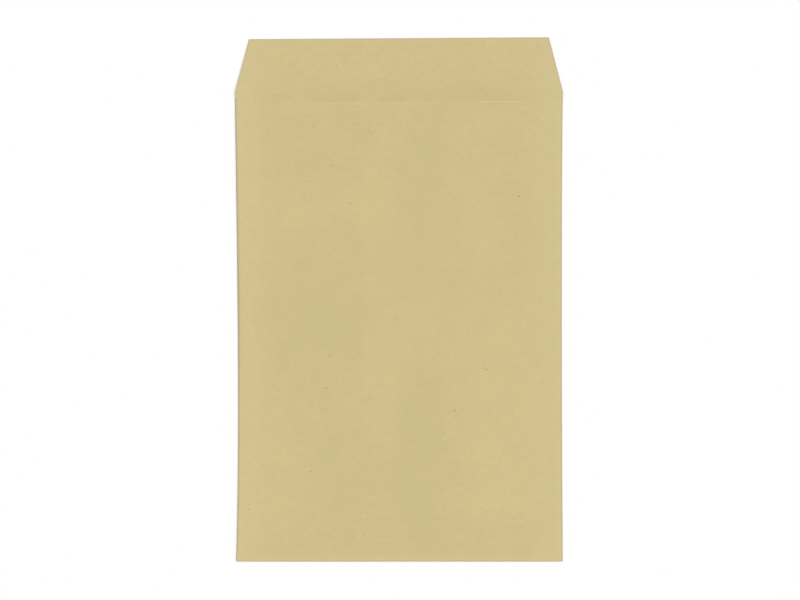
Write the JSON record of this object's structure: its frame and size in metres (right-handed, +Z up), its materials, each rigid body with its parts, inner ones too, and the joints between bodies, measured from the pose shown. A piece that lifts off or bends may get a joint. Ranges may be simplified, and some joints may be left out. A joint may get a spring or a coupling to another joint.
{
  "type": "paper envelope",
  "caption": "Plain buff manila pocket envelope, lying face up with its closing flap open. One folded and glued sheet that holds unfolded papers.",
  "frame": {"origin": "under the middle of the open envelope's outline, on the surface that it lies on", "axes": "+Z up out of the face, +Y from the bottom fold towards the closing flap, +X to the right as the face is seen"},
  "size_m": [0.229, 0.3662, 0.0013],
  "materials": {
    "manila_paper": "matt, uncoated, faintly mottled"
  },
  "bodies": {
    "root": {"envelope": "manila_paper"}
  },
  "joints": []
}
